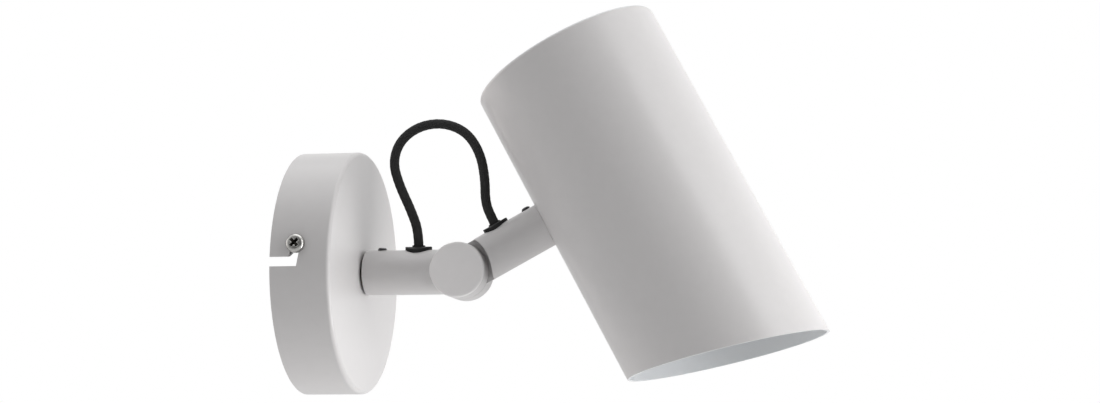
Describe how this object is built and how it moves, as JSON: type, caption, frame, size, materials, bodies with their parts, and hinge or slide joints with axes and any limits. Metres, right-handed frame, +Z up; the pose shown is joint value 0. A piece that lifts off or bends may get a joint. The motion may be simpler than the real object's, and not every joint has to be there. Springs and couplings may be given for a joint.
{
  "type": "pivoting spotlight wall light",
  "caption": "Wall spotlight: round canopy, swivelling tube arm with a tilting knuckle and cable loop, and a cylindrical shade with a closed top and a slanted mouth.",
  "frame": {"origin": "centre of the two wall slots on the wall face of the bracket, which is the centre of the canopy's wall side", "axes": "+X points out of the wall along the arm, +Z points up, and +Y completes a right-handed frame, away from the picture's camera"},
  "size_m": [0.2154, 0.105, 0.1566],
  "materials": {
    "painted_steel": "satin powder coat",
    "zinc_steel": "bright zinc plated",
    "bright_steel": "bright nickel plated",
    "black_steel": "black oxide",
    "brass": "turned",
    "black_rubber": "matt",
    "black_braid": "braided textile over insulation",
    "block_plastic": "moulded",
    "washer_nylon": "moulded",
    "lead_sleeve": "extruded",
    "holder_ceramic": "unglazed ceramic"
  },
  "bodies": {
    "wall_mount": {"wall_bracket": "zinc_steel", "canopy": "painted_steel", "canopy_screws": "bright_steel", "terminal_block": "block_plastic", "terminal_tubes": "brass", "terminal_screws": "zinc_steel", "block_screw": "zinc_steel", "earth_screw": "brass", "earth_tag": "brass", "earth_lead": "lead_sleeve", "canopy_leads": "lead_sleeve", "swivel_bush": "brass", "bush_washer": "zinc_steel", "bush_nut": "brass"},
    "arm": {"arm": "painted_steel", "arm_set_screw": "black_steel", "arm_grommet": "black_rubber", "arm_cable": "black_braid", "cable_loop": "black_braid", "pivot_screw": "zinc_steel", "pivot_washer": "zinc_steel", "spring_washer": "zinc_steel", "friction_washer": "washer_nylon"},
    "head": {"head_stem": "painted_steel", "head_set_screw": "black_steel", "head_grommet": "black_rubber", "head_cable": "black_braid", "head_bush": "brass", "saddle_washer": "zinc_steel", "head_nut": "brass", "shade": "painted_steel", "holder_bracket": "zinc_steel", "lampholder": "holder_ceramic", "lampholder_contacts": "brass", "holder_screws": "zinc_steel", "holder_nuts": "zinc_steel", "holder_leads": "lead_sleeve"}
  },
  "joints": [
    {"name": "arm_swivel", "type": "hinge", "parent": "wall_mount", "child": "arm", "pos_m": [0, 0, 0], "axis": [1, 0, 0], "range_deg": [-155, 155]},
    {"name": "head_tilt", "type": "hinge", "parent": "arm", "child": "head", "pos_m": [0.0658, 0, 0], "axis": [0, -1, 0], "range_deg": [-98.3, 41.7], "deforming": ["cable_loop"]}
  ]
}
